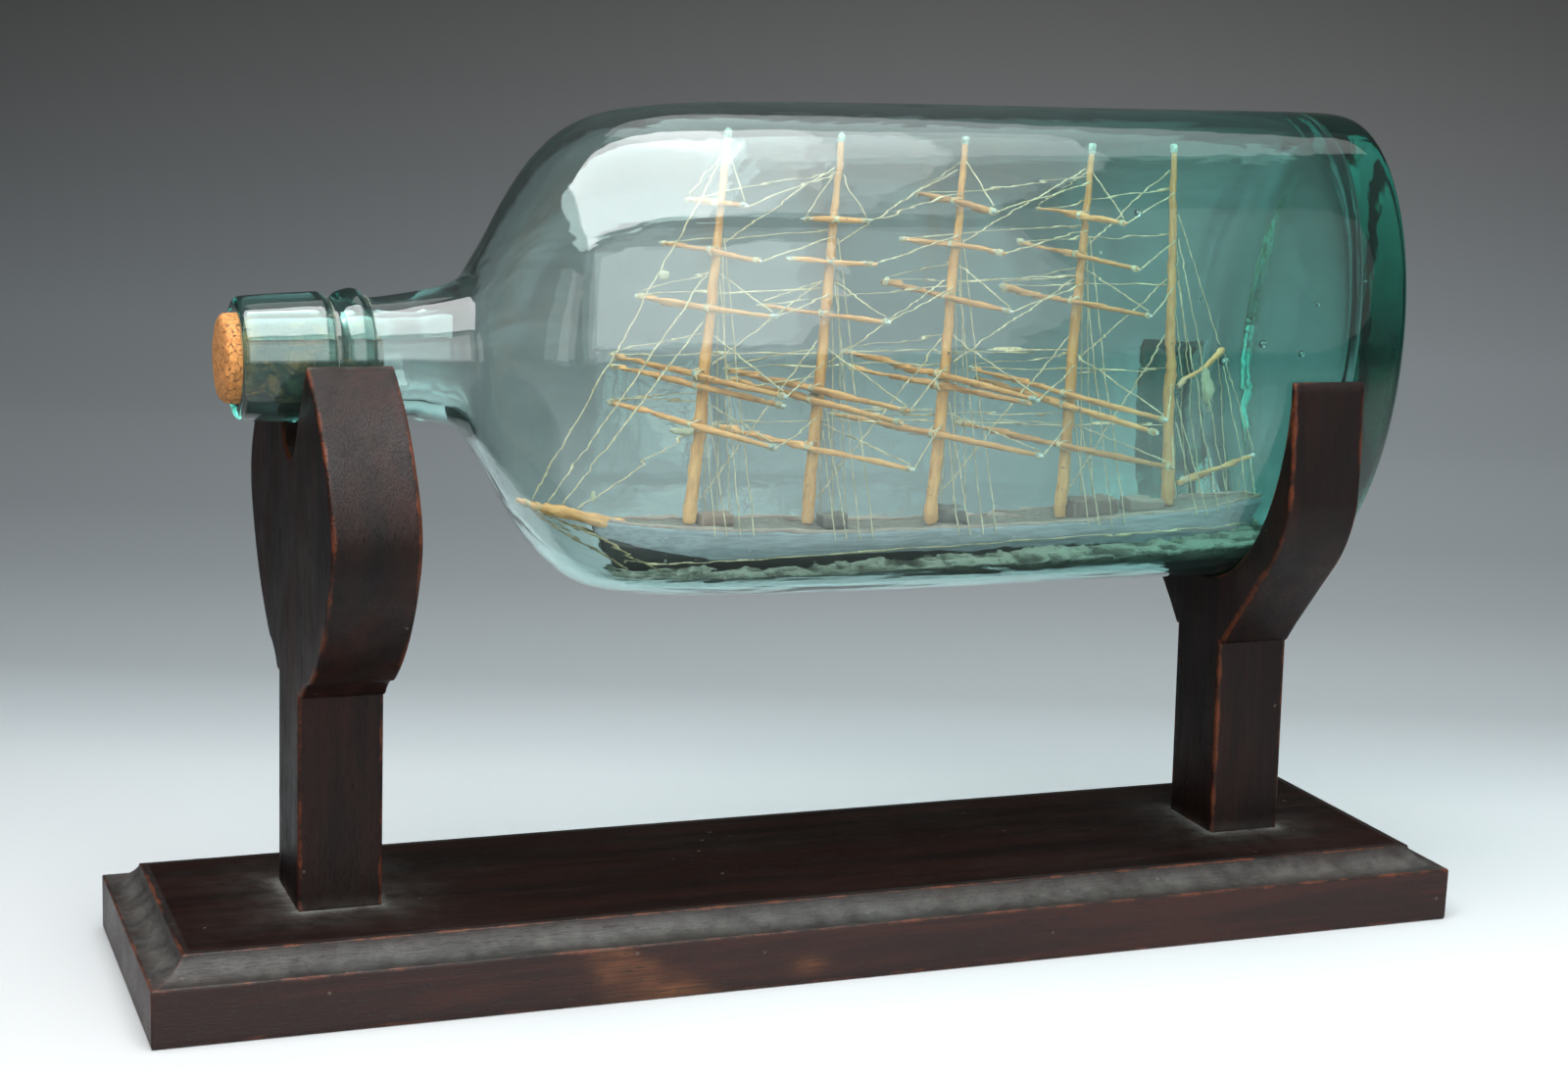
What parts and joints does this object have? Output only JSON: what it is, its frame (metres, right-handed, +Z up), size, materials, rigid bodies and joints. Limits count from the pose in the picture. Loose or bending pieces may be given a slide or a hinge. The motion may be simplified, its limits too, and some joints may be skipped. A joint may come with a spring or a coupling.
{
  "type": "ship in a bottle",
  "caption": "Model sailing ship on a putty sea inside a corked green glass bottle, lying in a dark wooden stand with a lyre post and a forked post.",
  "frame": {"origin": "centre of the underside of the base board", "axes": "+Z up, +X along the base from the neck of the bottle towards its bottom, +Y away from the viewer"},
  "size_m": [0.38, 0.1112, 0.2353],
  "materials": {
    "dark_mahogany": "dark reddish brown stained and waxed hardwood, worn along its edges",
    "bottle_glass": "pale sea-green bottle glass with seeds",
    "cork": "orange brown natural cork",
    "sea_putty": "painted putty, grey green with pale crests",
    "hull_paint": "carved wood, dark grey topsides over black",
    "rail_paint": "bare pinkish wood",
    "house_paint": "red brown painted wood",
    "spar_wood": "bare split softwood, rounded with a knife",
    "glue_beads": "pale glue bead",
    "ensign_cloth": "frayed pale cloth",
    "rigging_thread": "twisted cotton thread stiffened with glue"
  },
  "bodies": {
    "stand": {"base_board": "dark_mahogany", "neck_upright": "dark_mahogany", "body_upright": "dark_mahogany"},
    "bottle": {"bottle_glass": "bottle_glass", "bobstays": "rigging_thread", "bowsprit": "spar_wood", "ensign": "ensign_cloth", "fore_and_aft_stays": "rigging_thread", "fore_course_yard": "spar_wood", "fore_house": "house_paint", "fore_lower_topgallant_yard": "spar_wood", "fore_lower_topsail_yard": "spar_wood", "fore_mast": "spar_wood", "fore_royal_yard": "spar_wood", "fore_shrouds": "rigging_thread", "fore_topgallant_yard": "spar_wood", "fore_upper_topsail_yard": "spar_wood", "hull": "hull_paint", "hull_line": "rigging_thread", "jigger_mast": "spar_wood", "jigger_shrouds": "rigging_thread", "main_course_yard": "spar_wood", "main_house": "house_paint", "main_lower_topgallant_yard": "spar_wood", "main_lower_topsail_yard": "spar_wood", "main_mast": "spar_wood", "main_royal_yard": "spar_wood", "main_shrouds": "rigging_thread", "main_topgallant_yard": "spar_wood", "main_upper_topsail_yard": "spar_wood", "mast_trucks": "glue_beads", "middle_course_yard": "spar_wood", "middle_house": "house_paint", "middle_lower_topgallant_yard": "spar_wood", "middle_lower_topsail_yard": "spar_wood", "middle_mast": "spar_wood", "middle_royal_yard": "spar_wood", "middle_shrouds": "rigging_thread", "middle_topgallant_yard": "spar_wood", "middle_upper_topsail_yard": "spar_wood", "mizzen_course_yard": "spar_wood", "mizzen_house": "house_paint", "mizzen_lower_topgallant_yard": "spar_wood", "mizzen_lower_topsail_yard": "spar_wood", "mizzen_mast": "spar_wood", "mizzen_royal_yard": "spar_wood", "mizzen_shrouds": "rigging_thread", "mizzen_topgallant_yard": "spar_wood", "mizzen_upper_topsail_yard": "spar_wood", "poop_house": "house_paint", "rails": "rail_paint", "sea": "sea_putty", "spanker_boom": "spar_wood", "spanker_gaff": "spar_wood", "spanker_rigging": "rigging_thread", "yard_braces": "rigging_thread", "yard_lifts": "rigging_thread"},
    "stopper": {"cork": "cork"}
  },
  "joints": [
    {"name": "bottle_lift", "type": "slide", "parent": "stand", "child": "bottle", "axis": [0, 0, 1], "range_m": [0, 0.12]},
    {"name": "cork_pull", "type": "slide", "parent": "bottle", "child": "stopper", "axis": [-1, 0, 0], "range_m": [0, 0.045]}
  ]
}
